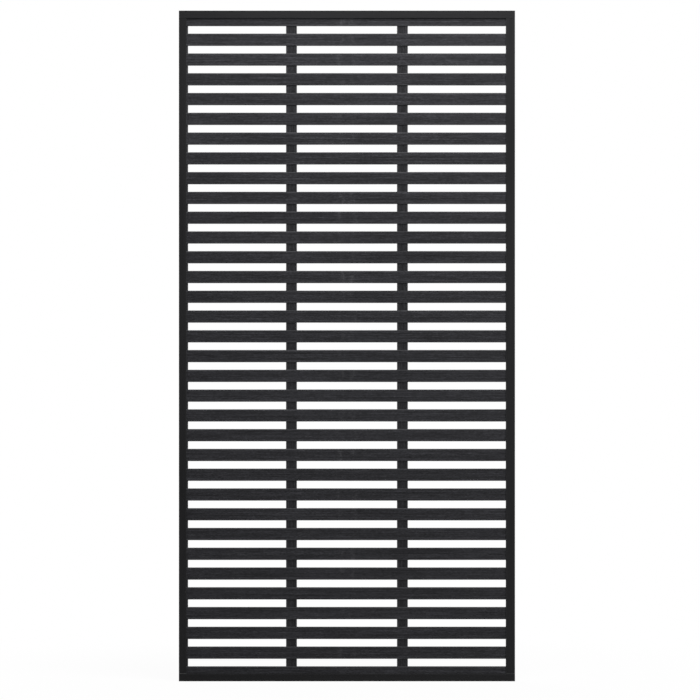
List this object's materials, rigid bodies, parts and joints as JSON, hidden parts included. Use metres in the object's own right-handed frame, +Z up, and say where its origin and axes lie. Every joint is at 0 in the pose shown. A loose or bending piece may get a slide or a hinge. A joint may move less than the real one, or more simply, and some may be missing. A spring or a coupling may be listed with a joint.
{
  "type": "slatted screen panel",
  "caption": "Upright screen panel: evenly spaced horizontal slats let into vertical battens inside a slim channel frame, for fixing between posts or against a wall.",
  "frame": {"origin": "middle of the bottom edge, on the underside of the bottom rail", "axes": "+X across the panel to the right seen from the front, +Y from the slatted front to the back, +Z up"},
  "size_m": [0.902, 0.02, 1.8],
  "materials": {
    "frame_coat": "satin black powder coat on aluminium channel",
    "slat_composite": "charcoal wood-plastic composite, brushed along its length",
    "batten_composite": "charcoal wood-plastic composite, brushed along its length",
    "cleat_metal": "mill finish",
    "screw_metal": "stainless",
    "staple_wire": "galvanised flat wire"
  },
  "bodies": {
    "root": {"top_rail": "frame_coat", "bottom_rail": "frame_coat", "left_stile": "frame_coat", "right_stile": "frame_coat", "slat_01": "slat_composite", "slat_02": "slat_composite", "slat_03": "slat_composite", "slat_04": "slat_composite", "slat_05": "slat_composite", "slat_06": "slat_composite", "slat_07": "slat_composite", "slat_08": "slat_composite", "slat_09": "slat_composite", "slat_10": "slat_composite", "slat_11": "slat_composite", "slat_12": "slat_composite", "slat_13": "slat_composite", "slat_14": "slat_composite", "slat_15": "slat_composite", "slat_16": "slat_composite", "slat_17": "slat_composite", "slat_18": "slat_composite", "slat_19": "slat_composite", "slat_20": "slat_composite", "slat_21": "slat_composite", "slat_22": "slat_composite", "slat_23": "slat_composite", "slat_24": "slat_composite", "slat_25": "slat_composite", "slat_26": "slat_composite", "slat_27": "slat_composite", "slat_28": "slat_composite", "slat_29": "slat_composite", "slat_30": "slat_composite", "slat_31": "slat_composite", "slat_32": "slat_composite", "slat_33": "slat_composite", "slat_34": "slat_composite", "mullion_left": "batten_composite", "mullion_right": "batten_composite", "end_batten_left": "batten_composite", "end_batten_right": "batten_composite", "corner_cleat_bottom_left": "cleat_metal", "corner_cleat_bottom_right": "cleat_metal", "corner_cleat_top_left": "cleat_metal", "corner_cleat_top_right": "cleat_metal", "corner_screws": "screw_metal", "staples_mullion_left": "staple_wire", "staples_mullion_right": "staple_wire", "staples_end_batten_left": "staple_wire", "staples_end_batten_right": "staple_wire"}
  },
  "joints": []
}
